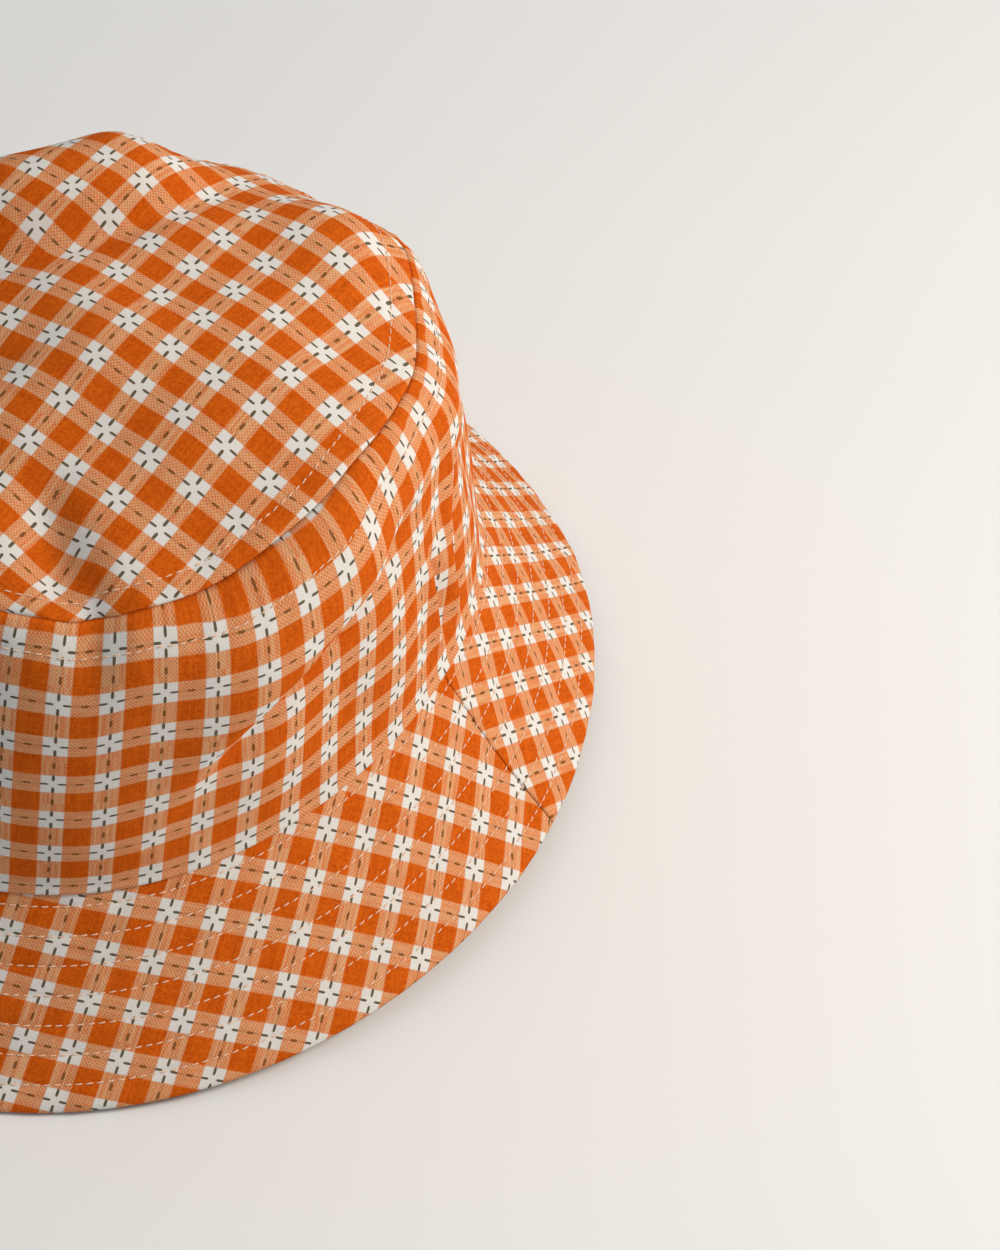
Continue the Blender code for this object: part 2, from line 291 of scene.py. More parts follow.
# Other creases of the side band: path, then valley depth and width, ridge height and width, in mm.
BAND_CREASES = [
    (CORNER_CREASE, (3.2, 5.0, 1.2, 8.5)),
    (in_mm((159, 2), (160, 30), (176, 58)), (2.6, 2.8, 2.8, 4.0)),
    (in_mm((147, 4), (148, 42)), (1.8, 2.2, 1.6, 3.0)),
    (in_mm((18, 56), (10, 30), (14, 2)), (1.2, 7.0, 0.0, 1.0)),
    (in_mm((-60, 74), (-78, 38), (-70, 4)), (2.6, 6.0, 2.2, 8.0)),
    (in_mm((-150, 6), (-140, 40), (-108, 60)), (3.0, 5.0, 3.2, 8.0)),
    (in_mm((232, 60), (246, 34), (238, 2)), (2.4, 6.0, 2.0, 8.0)),
    (in_mm((-225, 70), (-212, 40), (-224, 8)), (2.6, 6.0, 2.4, 8.0)),
]

# Swellings and hollows of the side band: place, reach and height, in mm.
BAND_MOUNDS = [
    ((12, 78), (26, 20), -2.4),
    ((40, 76), (5, 12), -1.8),
    ((178, 62), (32, 14), 6.0),
    ((234, 72), (23, 22), 4.5),
]
BAND_RIPPLE = 0.9 * MM
BAND_RIPPLE_LENGTH = 38.0 * MM

# Folds of the crown top: places in plan, from its middle. The deepest crease crosses its back right
# quarter, as the wearer has it, and takes up extra cloth. The pinch runs to the front seam.
TOP_VALLEY = in_mm((-72, -12), (-52, -6), (-33, 4), (-12, 20), (0, 42), (6, 66))
TOP_VALLEY_ACROSS = np.array([-0.707, 0.707])
TOP_VALLEY_SLACK = 7.0 * MM
TOP_CREASES = [
    (TOP_VALLEY, (2.6, 4.5, 13.5, 20.0)),
    (in_mm((2, -38), (8, -51), (18, -62), (30, -70), (44, -80)), (4.6, 7.0, 0.0, 1.0)),
    (in_mm((-50, -34), (-30, -22), (-8, -24)), (1.4, 6.0, 0.0, 1.0)),
]
TOP_MOUNDS = [
    ((50, -46), (22, 20), -3.6),
    ((35, 54), (19, 19), 7.0),
    ((-38, -40), (20, 16), 1.5),
]
TOP_RIPPLE = 0.7 * MM
TOP_RIPPLE_LENGTH = 34.0 * MM


def folds(x, y, creases, mounds):
    """Height of a set of creases, swellings and hollows together."""
    height = np.zeros(x.shape)
    for path, sizes in creases:
        height += crease(x, y, path, *in_mm(*sizes))
    for at, reach, rise in mounds:
        height += mound(x, y, in_mm(*at), in_mm(*reach), rise * MM)
    return height


def band_folds(arc, h):
    """How far the side band stands out, at a length round the head and a height up the cloth."""
    out = BAND_BOW * np.sin(math.pi * np.clip(h / BAND_HEIGHT, 0, 1))
    below_seam = np.clip(BAND_HEIGHT - h, 0, None)
    shoulder = (1 - np.exp(-below_seam / SHOULDER_TURN)) * bell(below_seam, 0, SHOULDER_REACH)
    from_corner, _ = beside_path(arc, h, CORNER_CREASE)
    puff = CORNER_PUFF * bell(arc, CORNER_PUFF_AT, CORNER_PUFF_REACH)
    puff = puff * smooth(0.5 + from_corner / CORNER_PUFF_EDGE)
    out += shoulder * (SHOULDER_ALL_ROUND + SHOULDER_FRONT * bell(arc, 0, SHOULDER_FRONT_REACH) + puff)
    out += folds(arc, h, BAND_CREASES, BAND_MOUNDS)
    loose = smooth(h / (20 * MM)) * smooth((BAND_HEIGHT + 6 * MM - h) / (20 * MM))
    out += BAND_RIPPLE * loose * ripple(round_place(arc, h * 0.6), BAND_RIPPLE_LENGTH, seed=3)
    return out


def near_edge(distance):
    """Share of the gathers that shows at a distance from a seam: none at the seam, most beside it."""
    return np.exp(-distance / (5 * MM)) * (1 - np.exp(-distance / (2.0 * MM)))


def band_puckers(arc, h):
    """Short gathers where the band is eased into its two seams and along its stitching."""
    top = near_edge(BAND_HEIGHT - h)
    low = near_edge(h)
    gathers = 0.5 * MM * (top + 0.5 * low) * ripple(round_place(arc, h * 0.15), 6 * MM, seed=11)
    return gathers - 0.22 * MM * bell(h, BAND_HEIGHT - CROWN_ROW_OFFSET, ROW_DIP_WIDTH)


def crown_folds(x, y):
    """How far the crown top stands up, at a place in plan with the crown's middle at 0, 0."""
    up = folds(x, y, TOP_CREASES, TOP_MOUNDS)
    return up + TOP_RIPPLE * ripple(flat_place(x, y), TOP_RIPPLE_LENGTH, seed=5)


def seam_shift(q):
    """How far the crown seam is carried outwards and upwards by the folds that meet it."""
    arc = head_arc(q)
    out = band_folds(arc, np.full_like(arc, BAND_HEIGHT))
    top = crown_plan(q, np.ones_like(q))
    up = crown_folds(top[..., 0], top[..., 1]) * SEAM_FOLD_SHARE
    return out, up


def crown_plan(q, share):
    """Place in plan of a share of the way from the crown's middle to its seam, middle at 0, 0."""
    point = crown_seam(q)[..., :2] - np.array([0.0, CROWN_MIDDLE_Y])
    return point * share[..., None]


# ---------------------------------------------------------------- the cloth panels as surfaces


def band_surface(q, h):
    """Outer face of the side band at azimuth q, h up the cloth from the head seam."""
    arc = head_arc(q)
    t = np.clip(h / BAND_HEIGHT, 0, 1)[..., None]
    seam_out, seam_up = seam_shift(q)
    low = head_seam(q)
    high = crown_seam(q) + outward(q) * seam_out[..., None] + UP * seam_up[..., None]
    out = band_folds(arc, h) - seam_out * t[..., 0] + band_puckers(arc, h)
    tuck = SEAM_TUCK * np.exp(-(BAND_HEIGHT - h) / SEAM_TUCK_REACH)
    overhang = 0.9 * MM * np.exp(-h / (1.2 * MM))
    point = low + (high - low) * t + outward(q) * (out - tuck + overhang)[..., None]
    return point - UP * tuck[..., None]


def crown_power(q):
    """The crown top falls evenly to the front seam, and late and steeply to the back one."""
    return 1.15 + 2.85 * ((1 - np.cos(q)) / 2) ** 2


def crown_surface(q, share):
    """Upper face of the crown top, at a share of the way from its middle to its seam."""
    plan = crown_plan(q, share)
    seam_out, _ = seam_shift(q)
    rim = crown_seam(q)[..., 2]
    height = CROWN_PEAK - (CROWN_PEAK - rim) * share ** crown_power(q)
    edge = (1 - share) * oval(CROWN_HALF_WIDTH, CROWN_HALF_LENGTH, q)
    held = smooth(1 - edge / SEAM_HOLD_REACH)
    height += crown_folds(plan[..., 0], plan[..., 1]) * (1 - (1 - SEAM_FOLD_SHARE) * held)
    height += 0.5 * MM * near_edge(edge) * ripple(round_place(head_arc(q), edge * 0.2), 6 * MM, seed=17)
    height -= 0.2 * MM * bell(edge, CROWN_ROW_OFFSET, ROW_DIP_WIDTH)
    tuck = SEAM_TUCK * np.exp(-edge / SEAM_TUCK_REACH)
    point = np.stack([plan[..., 0], plan[..., 1] + CROWN_MIDDLE_Y, height - tuck], axis=-1)
    return point + outward(q) * (seam_out * share**6 - tuck)[..., None]


def brim_slope(q):
    """Angle of the brim below level, a little steeper at the sides than at the front and back."""
    return np.radians(BRIM_SLOPE_DEG - BRIM_SLOPE_WAVE_DEG * np.cos(2 * q))


def brim_surface(q, reach):
    """Upper face of the brim at azimuth q, reach down the slope from the head seam."""
    slope = brim_slope(q)
    share = reach / BRIM_WIDTH
    down = outward(q) * np.cos(slope)[..., None] - UP * np.sin(slope)[..., None]
    proud = outward(q) * np.sin(slope)[..., None] + UP * np.cos(slope)[..., None]
    arc = head_arc(q)
    bend = -BRIM_SAG * np.sin(math.pi * share)
    bend += 0.9 * MM * share**2 * ripple(round_place(arc, reach), 80 * MM, seed=23, waves=4)
    bend += 0.12 * MM * ripple(round_place(arc, reach * 0.5), 8 * MM, seed=29)
    for row in BRIM_ROWS:
        bend -= 0.3 * MM * bell(reach, row, BRIM_ROW_DIP_WIDTH)
    bend -= BRIM_EDGE_TURN * np.exp(-(BRIM_WIDTH - reach) / (0.7 * MM))
    point = head_seam(q) + down * reach[..., None] + proud * bend[..., None]
    return point + UP * (BRIM_EDGE_RAISE * share**3)[..., None]


def brim_depth(depth):
    """Depth of a brim layer under the upper face: the layers close up at the turned edge."""

    def at(q, reach):
        return depth * (1 - 0.75 * smooth((reach / BRIM_WIDTH - 0.9) / 0.1))

    return at


def normals(surface, a, b, flip):
    """Unit normals of a surface at its parameters, by small differences."""
    along_a = surface(a + STEP_A, b) - surface(a - STEP_A, b)
    along_b = surface(a, b + STEP_B) - surface(a, b - STEP_B)
    normal = np.cross(along_a, along_b) * flip
    return normal / np.maximum(np.linalg.norm(normal, axis=-1, keepdims=True), 1e-12)


def lining_top_surface(q, share):
    """Upper face of the lining under the crown top, turned down at its rim to meet the band's lining."""
    point = crown_surface(q, share) - normals(crown_surface, q, share, -1.0) * LINING_TOP_DEPTH
    rim_height = np.full_like(q, LINING_HEIGHT - LINING_OVERLAP)
    rim = band_surface(q, rim_height) - normals(band_surface, q, rim_height, 1.0) * LINING_DEPTH
    at_rim = smooth((share - LINING_TURN_SHARE) / (LINING_RIM_SHARE - LINING_TURN_SHARE))
    return point + (rim - point) * at_rim[..., None]


# ---------------------------------------------------------------- cloth coordinates, in checks


def band_cloth(q, h):
    """The straight strip is eased into the smaller crown, so its stripes close up a little upwards."""
    arc = head_arc(q)
    spread = 1 + BAND_CLOSING_UP * h
    slack = CORNER_SLACK * bell(arc, CORNER_SLACK_AT, CORNER_SLACK_REACH) * smooth(h / BAND_HEIGHT)
    return np.stack([arc / CHECK / spread, h / CHECK + BAND_CHECK_START + slack], axis=-1)


def crown_cloth(q, share):
    """The crown top's check lies aslant, and is carried over the extra cloth of the deepest crease."""
    plan = crown_plan(q, share)
    across, along = beside_path(plan[..., 0], plan[..., 1], TOP_VALLEY)
    slack = TOP_VALLEY_SLACK * smooth(across / (14 * MM)) * fade_at_ends(along)
    plan = (plan + TOP_VALLEY_ACROSS * slack[..., None]) / (CHECK * CROWN_EASE)
    cos = math.cos(CROWN_GRAIN)
    sin = math.sin(CROWN_GRAIN)
    u = plan[..., 0] * cos + plan[..., 1] * sin
    v = -plan[..., 0] * sin + plan[..., 1] * cos
    return np.stack([u, v], axis=-1) + CROWN_CHECK_START


def brim_cloth(middle):
    """Cloth coordinates of the half ring whose middle is at an azimuth."""

    def place(q, reach):
        angle = (head_arc(q) - head_arc(np.full_like(q, middle))) / BRIM_SECTOR_RADIUS
        radius = BRIM_SECTOR_RADIUS + reach
        point = np.stack([np.sin(angle), np.cos(angle)], axis=-1) * radius[..., None]
        return point / CHECK + BRIM_CHECK_START

    return place


# ---------------------------------------------------------------- mesh building


def new_object(name, points, faces, material, cloth=None):
    """A smooth-shaded mesh object, with its cloth coordinates kept as the map called cloth."""
    mesh = bpy.data.meshes.new(name)
    mesh.from_pydata([tuple(p) for p in points], [], faces)
    if cloth is not None:
        layer = mesh.uv_layers.new(name="cloth")
        corners = np.empty(len(mesh.loops), dtype=np.int32)
        mesh.loops.foreach_get("vertex_index", corners)
        layer.data.foreach_set("uv", np.asarray(cloth, dtype=np.float32)[corners].ravel())
    mesh.shade_smooth()
    mesh.materials.append(material)
    made = bpy.data.objects.new(name, mesh)
    bpy.context.scene.collection.objects.link(made)
    return made


def grid_faces(rows, columns, around=False):
    """Four-sided faces between the points of a grid, closed on itself when it goes around."""
    faces = []
    for i in range(rows if around else rows - 1):
        j = (i + 1) % rows
        for k in range(columns - 1):
            faces.append((i * columns + k, j * columns + k, j * columns + k + 1, i * columns + k + 1))
    return faces


def thicken(piece, thickness):
    """Gives a sheet its thickness, on the side away from its normals."""
    solid = piece.modifiers.new("thickness", "SOLIDIFY")
    solid.thickness = thickness
    solid.offset = -1.0
    return piece


def sheet_piece(name, surface, a, b, flip, material, cloth=None, depth=0.0, thickness=CLOTH):
    """A sheet of cloth over a grid of parameters, depth under the outer face."""
    grid_a, grid_b = np.meshgrid(a, b, indexing="ij")
    flat_a = grid_a.ravel()
    flat_b = grid_b.ravel()
    points = surface(flat_a, flat_b)
    if depth:
        below = depth(flat_a, flat_b)[:, None] if callable(depth) else depth
        points = points - normals(surface, flat_a, flat_b, flip) * below
    places = None if cloth is None else cloth(flat_a, flat_b)
    faces = grid_faces(len(a), len(b))
    if flip < 0:
        faces = [face[::-1] for face in faces]
    return thicken(new_object(name, points, faces, material, places), thickness)


def disc_piece(name, surface, turns, shares, material, cloth=None, depth=0.0, thickness=CLOTH):
    """A sheet of cloth over a disc: rings from the middle to the rim."""
    q = np.linspace(-math.pi, math.pi, turns, endpoint=False)
    grid_q, grid_s = np.meshgrid(q, shares[1:], indexing="ij")
    flat_q = np.concatenate([grid_q.ravel(), [0.0]])
    flat_s = np.concatenate([grid_s.ravel(), [1e-4]])
    points = surface(flat_q, flat_s)
    if depth:
        points = points - normals(surface, flat_q, flat_s, -1.0) * depth
    places = None if cloth is None else cloth(flat_q, flat_s)
    columns = len(shares) - 1
    faces = [face[::-1] for face in grid_faces(turns, columns, around=True)]
    middle = len(flat_q) - 1
    for i in range(turns):
        faces.append((middle, i * columns, (i + 1) % turns * columns))
    return thicken(new_object(name, points, faces, material, places), thickness)


def graded(low, high, count, fine_ends=0.0):
    """Parameters from low to high, closer together towards both ends."""
    t = np.linspace(0, 1, count)
    eased = (1 - np.cos(math.pi * t)) / 2
    return low + (high - low) * ((1 - fine_ends) * t + fine_ends * eased)


# ---------------------------------------------------------------- stitches


def stitch_row(q, surface, across, flip, lift=0.0, side=1.0):
    """Points and faces of separate stitches that follow one another along a line on a surface.

    Each stitch is a slim pill that rises out of the cloth and dives back in, a little aslant.
    """
    fine = surface(q, across)
    lengths = np.concatenate([[0.0], np.cumsum(np.linalg.norm(np.diff(fine, axis=0), axis=1))])
    count = int(lengths[-1] / STITCH_PITCH)
    middles = (np.arange(count) + 0.5) * lengths[-1] / count
    profile = np.linspace(-1, 1, STITCH_RINGS)
    along = middles[:, None] + profile[None, :] * STITCH_LENGTH / 2
    at_q = np.interp(along.ravel(), lengths, q)
    at_across = np.interp(along.ravel(), lengths, across)
    centre = surface(at_q, at_across)
    normal = normals(surface, at_q, at_across, flip) * side
    tangent = surface(at_q + STEP_A, at_across) - surface(at_q - STEP_A, at_across)
    tangent /= np.linalg.norm(tangent, axis=-1, keepdims=True)
    binormal = np.cross(normal, tangent)
    p = np.tile(profile, count)
    radius = THREAD_RADIUS * np.sqrt(np.clip(1 - np.abs(p) ** 3, 0.04, 1))
    arch = THREAD_RADIUS * (0.75 - 1.5 * p**4)
    aslant = STITCH_SLANT * STITCH_LENGTH / 2 * p
    centre = centre + normal * (lift + arch)[:, None] + binormal * aslant[:, None]
    points = []
    for k in range(STITCH_SIDES):
        turn = 2 * math.pi * k / STITCH_SIDES
        points.append(centre + (normal * math.sin(turn) + binormal * math.cos(turn)) * radius[:, None])
    return np.stack(points, axis=1).reshape(-1, 3), pill_faces(count)


def pill_faces(count):
    """Faces of a number of stitches: the sides of each, and its two ends."""
    faces = []
    for n in range(count):
        base = n * STITCH_RINGS * STITCH_SIDES
        for i in range(STITCH_RINGS - 1):
            for k in range(STITCH_SIDES):
                a = base + i * STITCH_SIDES + k
                b = base + i * STITCH_SIDES + (k + 1) % STITCH_SIDES
                faces.append((a, b, b + STITCH_SIDES, a + STITCH_SIDES))
        last = base + (STITCH_RINGS - 1) * STITCH_SIDES
        faces.append(tuple(base + k for k in reversed(range(STITCH_SIDES))))
        faces.append(tuple(last + k for k in range(STITCH_SIDES)))
    return faces


def stitches(name, rows, material):
    """One object from several rows of stitches."""
    points = []
    faces = []
    offset = 0
    for row_points, row_faces in rows:
        points.append(row_points)
        faces += [tuple(index + offset for index in face) for face in row_faces]
        offset += len(row_points)
    return new_object(name, np.concatenate(points), faces, material)


# ---------------------------------------------------------------- materials


class Nodes:
    """Short calls for building a node tree."""

    def __init__(self, name):
        self.material = bpy.data.materials.new(name)
        self.material.use_nodes = True
        self.tree = self.material.node_tree
        self.surface = self.tree.nodes["Principled BSDF"]

    def link(self, value, socket):
        if isinstance(value, bpy.types.NodeSocket):
            self.tree.links.new(value, socket)
        else:
            socket.default_value = value

    def math(self, operation, a, b=0.0, c=0.0, clamp=False):
        node = self.tree.nodes.new("ShaderNodeMath")
        node.operation = operation
        node.use_clamp = clamp
        for value, socket in zip((a, b, c), node.inputs):
            self.link(value, socket)
        return node.outputs[0]

    def mix(self, factor, a, b):
        node = self.tree.nodes.new("ShaderNodeMix")
        node.data_type = "RGBA"
        self.link(factor, node.inputs["Factor"])
        self.link(a, node.inputs[6])
        self.link(b, node.inputs[7])
        return node.outputs[2]

    def combine(self, x, y, z=0.0):
        node = self.tree.nodes.new("ShaderNodeCombineXYZ")
        for value, socket in zip((x, y, z), node.inputs):
            self.link(value, socket)
        return node.outputs[0]

    def noise(self, vector, scale, detail=2.0):
        node = self.tree.nodes.new("ShaderNodeTexNoise")
        node.inputs["Scale"].default_value = scale
        node.inputs["Detail"].default_value = detail
        self.link(vector, node.inputs["Vector"])
        return node.outputs["Fac"]

    def random(self, vector):
        node = self.tree.nodes.new("ShaderNodeTexWhiteNoise")
        node.noise_dimensions = "2D"
        self.link(vector, node.inputs["Vector"])
        return node.outputs["Value"]

    def cloth_place(self):
        """The two cloth coordinates, in checks."""
        uv = self.tree.nodes.new("ShaderNodeUVMap")
        uv.uv_map = "cloth"
        parts = self.tree.nodes.new("ShaderNodeSeparateXYZ")
        self.tree.links.new(uv.outputs[0], parts.inputs[0])
        return parts.outputs[0], parts.outputs[1]

    def object_place(self):
        place = self.tree.nodes.new("ShaderNodeTexCoord")
        return place.outputs["Object"]

    def bump(self, height, strength, distance):
        node = self.tree.nodes.new("ShaderNodeBump")
        node.inputs["Strength"].default_value = strength
        node.inputs["Distance"].default_value = distance
        self.link(height, node.inputs["Height"])
        self.tree.links.new(node.outputs[0], self.surface.inputs["Normal"])

    def finish(self, colour, roughness, sheen=0.0):
        self.link(colour, self.surface.inputs["Base Color"])
        self.link(roughness, self.surface.inputs["Roughness"])
        self.surface.inputs["Sheen Weight"].default_value = sheen
        self.surface.inputs["Sheen Roughness"].default_value = 0.5
        self.surface.inputs["Specular IOR Level"].default_value = 0.06
        return self.material


ORANGE = (0.76, 0.146, 0.008, 1.0)
DEEP_ORANGE = (0.50, 0.070, 0.002, 1.0)
WHITE = (0.79, 0.77, 0.745, 1.0)
PEACH = (0.84, 0.54, 0.30, 1.0)
DASH_ON_WHITE = (0.080, 0.052, 0.010, 1.0)
DASH_ON_MIXED = (0.15, 0.055, 0.008, 1.0)
THREAD_PALE = (0.93, 0.72, 0.56, 1.0)
THREAD_DEEP = (0.80, 0.47, 0.30, 1.0)
FLOOR_PALE = (0.885, 0.905, 0.925, 1.0)
FLOOR_DEEP = (0.865, 0.885, 0.905, 1.0)

# The check, in shares of one repeat.
WHITE_SHARE = 0.47
STRIPE_BORDER = 1 / 40
DASHES_PER_CHECK = 3.0
DASH_HALF_LENGTH = 0.085
WARP_DASH_HALF_WIDTH = 0.033
WEFT_DASH_HALF_WIDTH = 0.027

# Inner cloths: colour, shade, yarn spacing, and whether the weave is a twill.
INNER_CLOTHS = {
    "lining": ((0.83, 0.77, 0.66, 1.0), (0.72, 0.65, 0.53, 1.0), 0.35 * MM, False),
    "canvas": ((0.86, 0.85, 0.80, 1.0), (0.76, 0.75, 0.70, 1.0), 0.6 * MM, False),
    "sweatband": ((0.80, 0.73, 0.60, 1.0), (0.68, 0.61, 0.48, 1.0), 0.7 * MM, True),
    "label": ((0.90, 0.89, 0.86, 1.0), (0.82, 0.81, 0.78, 1.0), 0.3 * MM, True),
}


def stripe(n, place):
    """1 on the white stripe, 0 on the orange one, with a soft yarn-wide border."""
    wrapped = n.math("FRACT", place)
    from_middle = n.math("ABSOLUTE", n.math("SUBTRACT", wrapped, 0.5))
    half_width = WHITE_SHARE / 2 / STRIPE_BORDER
    return n.math("MULTIPLY_ADD", from_middle, -1 / STRIPE_BORDER, half_width + 0.5, clamp=True)


def dashes(n, across, along, half_width):
    """Dashes of a coarse dark yarn down the middle of the white stripes, and the yarn sunk between them."""
    off_line = n.math("DIVIDE", n.math("SUBTRACT", n.math("FRACT", across), 0.5), half_width)
    repeat = n.math("FRACT", n.math("MULTIPLY", n.math("SUBTRACT", along, 0.5), DASHES_PER_CHECK))
    off_dash = n.math("DIVIDE", n.math("SUBTRACT", repeat, 0.5), DASHES_PER_CHECK * DASH_HALF_LENGTH)
    off_line = n.math("MULTIPLY", off_line, off_line)
    off_dash = n.math("MULTIPLY", off_dash, off_dash)
    pill = n.math("ADD", off_line, n.math("MULTIPLY", off_dash, off_dash))
    dash = n.math("MULTIPLY_ADD", pill, -2.2, 2.4, clamp=True)
    sunk = n.math("MULTIPLY_ADD", off_line, -0.45, 0.45, clamp=True)
    return dash, n.math("MULTIPLY", sunk, 0.5)


def gingham(name):
    """Yarn-dyed check: warp and weft yarns of orange and white, woven over and under each other."""
    n = Nodes(name)
    u, v = n.cloth_place()
    warp_white = stripe(n, u)
    weft_white = stripe(n, v)
    yarn_u = n.math("MULTIPLY", u, YARNS_PER_CHECK)
    yarn_v = n.math("MULTIPLY", v, YARNS_PER_CHECK)
    count_u = n.math("FLOOR", yarn_u)
    count_v = n.math("FLOOR", yarn_v)

    # Which yarn is on top, and where one, both or neither of them is white.
    crossing = n.math("FRACT", n.math("MULTIPLY", n.math("ADD", count_u, count_v), 0.5))
    warp_over = n.math("GREATER_THAN", crossing, 0.25)
    both = n.math("MULTIPLY", warp_white, weft_white)
    warp_only = n.math("SUBTRACT", warp_white, both)
    weft_only = n.math("SUBTRACT", weft_white, both)

    # Unevenness from yarn to yarn, and the colour of each square of the check.
    slub = n.random(n.combine(count_u, n.math("FLOOR", n.math("MULTIPLY", v, 1.7))))
    pick = n.random(n.combine(n.math("FLOOR", n.math("MULTIPLY", u, 1.7)), n.math("ADD", count_v, 500.0)))
    knot = n.random(n.combine(count_u, n.math("ADD", count_v, 900.0)))
    streaks = n.math("MULTIPLY_ADD", slub, 0.3, n.math("MULTIPLY", pick, 0.2))
    orange = n.mix(n.math("MULTIPLY_ADD", knot, 0.5, streaks), ORANGE, DEEP_ORANGE)
    floats = n.math("MULTIPLY_ADD", slub, 0.40, n.math("MULTIPLY_ADD", warp_over, 0.34, 0.10))
    dots = n.math("MULTIPLY_ADD", pick, 0.20, n.math("MULTIPLY_ADD", warp_over, -0.40, 0.56))
    mixed = n.math("ADD", n.math("MULTIPLY", warp_only, floats), n.math("MULTIPLY", weft_only, dots))
    cloth = n.mix(both, n.mix(mixed, orange, PEACH), WHITE)

    # The dark dashes of both directions.
    down, down_sunk = dashes(n, u, v, WARP_DASH_HALF_WIDTH)
    over, over_sunk = dashes(n, v, u, WEFT_DASH_HALF_WIDTH)
    dark = n.math("MAXIMUM", down, over)
    faint = n.math("MULTIPLY", n.math("MAXIMUM", down_sunk, over_sunk), n.math("ADD", warp_only, weft_only))
    shown = n.math("MAXIMUM", n.math("MULTIPLY", dark, n.math("MULTIPLY_ADD", both, 0.08, 0.84)), faint)
    in_stripe = n.math("MAXIMUM", warp_white, weft_white)
    colour = n.mix(n.math("MULTIPLY", shown, in_stripe), cloth, n.mix(both, DASH_ON_MIXED, DASH_ON_WHITE))

    # The weave as relief.
    ridge_u = n.math("ABSOLUTE", n.math("SUBTRACT", n.math("FRACT", yarn_u), 0.5))
    ridge_v = n.math("ABSOLUTE", n.math("SUBTRACT", n.math("FRACT", yarn_v), 0.5))
    height = n.math("SUBTRACT", n.math("MULTIPLY", warp_over, 0.3), n.math("ADD", ridge_u, ridge_v))
    height = n.math("ADD", height, n.math("MULTIPLY", dark, 0.8))
    n.bump(height, 0.55, 0.12 * MM)
    roughness = n.math("MULTIPLY_ADD", slub, 0.08, 0.84)
    return n.finish(colour, roughness)


def plain_cloth(name, colour, shade, yarn, twill):
    """Undyed plain or twill cloth seen from the inside: fine yarns with a little unevenness."""
    n = Nodes(name)
    place = n.object_place()
    u, v = n.cloth_place()
    yarn_u = n.math("MULTIPLY", u, CHECK / yarn)
    yarn_v = n.math("MULTIPLY", v, CHECK / yarn)
    lean = n.math("ADD", yarn_u, n.math("MULTIPLY", yarn_v, 1.0 if twill else 0.0))
    ribs = n.math("SINE", n.math("MULTIPLY", lean, 2 * math.pi))
    picks = n.math("SINE", n.math("MULTIPLY", yarn_v, 2 * math.pi))
    weave = ribs if twill else n.math("MULTIPLY", ribs, picks)
    cloud = n.noise(place, 60.0, 3.0)
    tone = n.math("MULTIPLY_ADD", weave, 0.12, n.math("MULTIPLY", cloud, 0.8), clamp=True)
    n.bump(weave, 0.5, 0.12 * MM)
    return n.finish(n.mix(tone, shade, colour), n.math("MULTIPLY_ADD", cloud, 0.1, 0.8), sheen=0.1)


def thread_material():
    """Pale peach spun thread with its twist."""
    n = Nodes("stitch_thread")
    place = n.object_place()
    fibre = n.noise(place, 2600.0, 2.0)
    n.bump(fibre, 0.5, 0.06 * MM)
    return n.finish(n.mix(fibre, THREAD_DEEP, THREAD_PALE), 0.62, sheen=0.2)


def stage_material():
    """Plain pale floor, very slightly mottled."""
    n = Nodes("pale_floor")
    place = n.object_place()
    mottle = n.noise(place, 3.0, 2.0)
    return n.finish(n.mix(mottle, FLOOR_DEEP, FLOOR_PALE), 0.7)


# ---------------------------------------------------------------- the pieces


def declare(piece, node, body="hat"):
    """Says what a piece rides on and which CAD node it replaces."""
    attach(piece, body)
    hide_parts(node)


def whole_round(gap, count):
    """Azimuths once round the hat, from one side of the back seam to the other."""
    return np.linspace(-math.pi + gap, math.pi - gap, count)


def crown_pieces(check, lining, thread):
    """Crown top and side band, the lining under each, and the stitching along their seam."""
    shares = np.concatenate([np.linspace(0, 0.9, 60, endpoint=False), graded(0.9, 1.0, 16, 0.6)])
    top = disc_piece("crown_top_cloth", crown_surface, 260, shares, check, crown_cloth)
    declare(top, "crown_top")

    around = whole_round(BAND_SEAM_GAP, 470)
    heights = graded(0.0, BAND_HEIGHT, 84, 0.35)
    band = sheet_piece("crown_band_cloth", band_surface, around, heights, 1.0, check, band_cloth)
    declare(band, "crown_band")

    shares = np.concatenate([np.linspace(0, 0.9, 26, endpoint=False), np.linspace(0.9, LINING_RIM_SHARE, 10)])
    inside_top = disc_piece(
        "lining_top_cloth", lining_top_surface, 240, shares, lining, crown_cloth, thickness=LINING_CLOTH
    )
    declare(inside_top, "lining_top")

    around = whole_round(BAND_SEAM_GAP, 240)
    heights = np.linspace(LINING_START, LINING_HEIGHT, 40)
    layer = {"depth": LINING_DEPTH, "thickness": LINING_CLOTH}
    inside = sheet_piece("lining_band_cloth", band_surface, around, heights, 1.0, lining, band_cloth, **layer)
    declare(inside, "lining_band")

    full = whole_round(0.0, 1200)
    share = 1 - CROWN_ROW_OFFSET / oval(CROWN_HALF_WIDTH, CROWN_HALF_LENGTH, full)
    on_top = stitches("crown_top_stitches", [stitch_row(full, crown_surface, share, -1.0)], thread)
    declare(on_top, "crown_top_stitch")
    level = np.full_like(full, BAND_HEIGHT - CROWN_ROW_OFFSET)
    on_band = stitches("crown_band_stitches", [stitch_row(full, band_surface, level, 1.0)], thread)
    declare(on_band, "crown_band_stitch")


